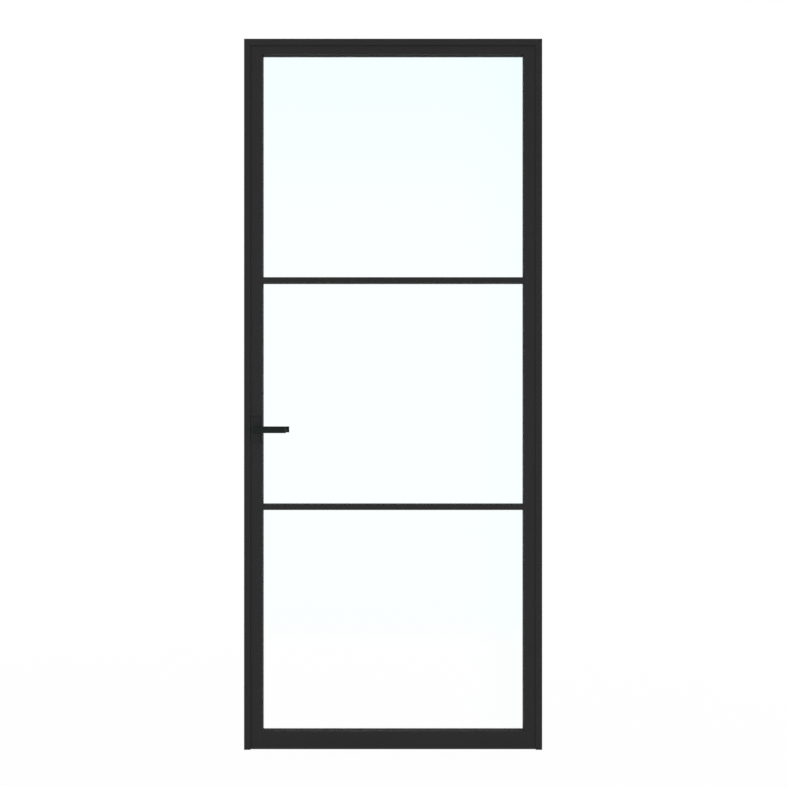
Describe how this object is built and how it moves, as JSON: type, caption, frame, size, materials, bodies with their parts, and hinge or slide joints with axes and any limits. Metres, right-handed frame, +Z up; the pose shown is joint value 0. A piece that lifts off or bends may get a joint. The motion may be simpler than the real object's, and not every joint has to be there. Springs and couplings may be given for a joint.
{
  "type": "glazed hinged door with frame",
  "caption": "Tall slim black metal door in its frame, clear glass panes between level bars, lever handles, hidden-side butt hinges.",
  "frame": {"origin": "on the floor, midway between the outer faces of the jambs and midway through the depth overall", "axes": "+X to the right seen from the front, where the hinges are; +Y away from the front, the way the leaf opens; +Z up"},
  "size_m": [0.981, 0.14, 2.34],
  "materials": {
    "frame_coat": "black powder coat, fine texture",
    "bead_coat": "black powder coat, fine texture",
    "handle_coat": "satin black coat",
    "hinge_coat": "black coat",
    "glass": "clear, very faintly cyan",
    "rubber": "black matt",
    "steel": "bright turned steel",
    "screw_steel": "blackened steel",
    "plate_steel": "satin stainless steel",
    "case_steel": "zinc plated",
    "latch_metal": "nickel plated, worn bright",
    "bare_aluminium": "as extruded",
    "nylon": "black"
  },
  "bodies": {
    "frame": {"frame_corner_cleats": "bare_aluminium", "frame_head": "frame_coat", "frame_seal": "rubber", "hinge_frame_half_lower": "hinge_coat", "hinge_frame_half_middle": "hinge_coat", "hinge_frame_half_upper": "hinge_coat", "hinge_pin_lower": "steel", "hinge_pin_middle": "steel", "hinge_pin_upper": "steel", "hinge_screws": "screw_steel", "jamb_hinge_side": "frame_coat", "jamb_lock_side": "frame_coat", "strike_plate": "plate_steel", "strike_screws": "screw_steel"},
    "leaf": {"bead_bottom_pane_bottom": "bead_coat", "bead_bottom_pane_hinge_side": "bead_coat", "bead_bottom_pane_lock_side": "bead_coat", "bead_bottom_pane_top": "bead_coat", "bead_middle_pane_bottom": "bead_coat", "bead_middle_pane_hinge_side": "bead_coat", "bead_middle_pane_lock_side": "bead_coat", "bead_middle_pane_top": "bead_coat", "bead_top_pane_bottom": "bead_coat", "bead_top_pane_hinge_side": "bead_coat", "bead_top_pane_lock_side": "bead_coat", "bead_top_pane_top": "bead_coat", "bottom_seal": "rubber", "faceplate": "plate_steel", "glass_bottom": "glass", "glass_middle": "glass", "glass_top": "glass", "glazing_gaskets_bottom": "rubber", "glazing_gaskets_middle": "rubber", "glazing_gaskets_top": "rubber", "hinge_door_half_lower": "hinge_coat", "hinge_door_half_middle": "hinge_coat", "hinge_door_half_upper": "hinge_coat", "hinge_washers": "nylon", "latch_spring": "steel", "leaf_screws": "screw_steel", "lock_case": "case_steel", "lock_cover": "case_steel", "rail_bottom": "frame_coat", "rail_spigots": "bare_aluminium", "rail_top": "frame_coat", "rosette_back": "handle_coat", "rosette_bolts": "screw_steel", "rosette_front": "handle_coat", "setting_blocks": "nylon", "stile_hinge_side": "frame_coat", "stile_lock_side": "frame_coat", "stile_plugs": "nylon", "transom_lower": "frame_coat", "transom_upper": "frame_coat"},
    "lever": {"lever_front": "handle_coat", "lever_back": "handle_coat", "spindle": "steel", "follower": "steel", "grub_screws": "steel"},
    "latch": {"latch_bolt": "latch_metal"}
  },
  "joints": [
    {"name": "leaf_swing", "type": "hinge", "parent": "frame", "child": "leaf", "pos_m": [0.479, 0.027, 1.17], "axis": [0, 0, -1], "range_deg": [0, 170]},
    {"name": "lever_turn", "type": "hinge", "parent": "leaf", "child": "lever", "pos_m": [-0.4525, 0, 1.053], "axis": [0, 1, 0], "range_deg": [0, 35], "stiffness_Nm_per_rad": 1, "springref_deg": -34.38},
    {"name": "latch_slide", "type": "slide", "parent": "leaf", "child": "latch", "axis": [1, 0, 0], "range_m": [0, 0.01], "deforming": ["latch_spring"]}
  ],
  "couplings": [
    {"joint": "latch_slide", "follows": "lever_turn", "m_per_rad": 0.01637}
  ]
}
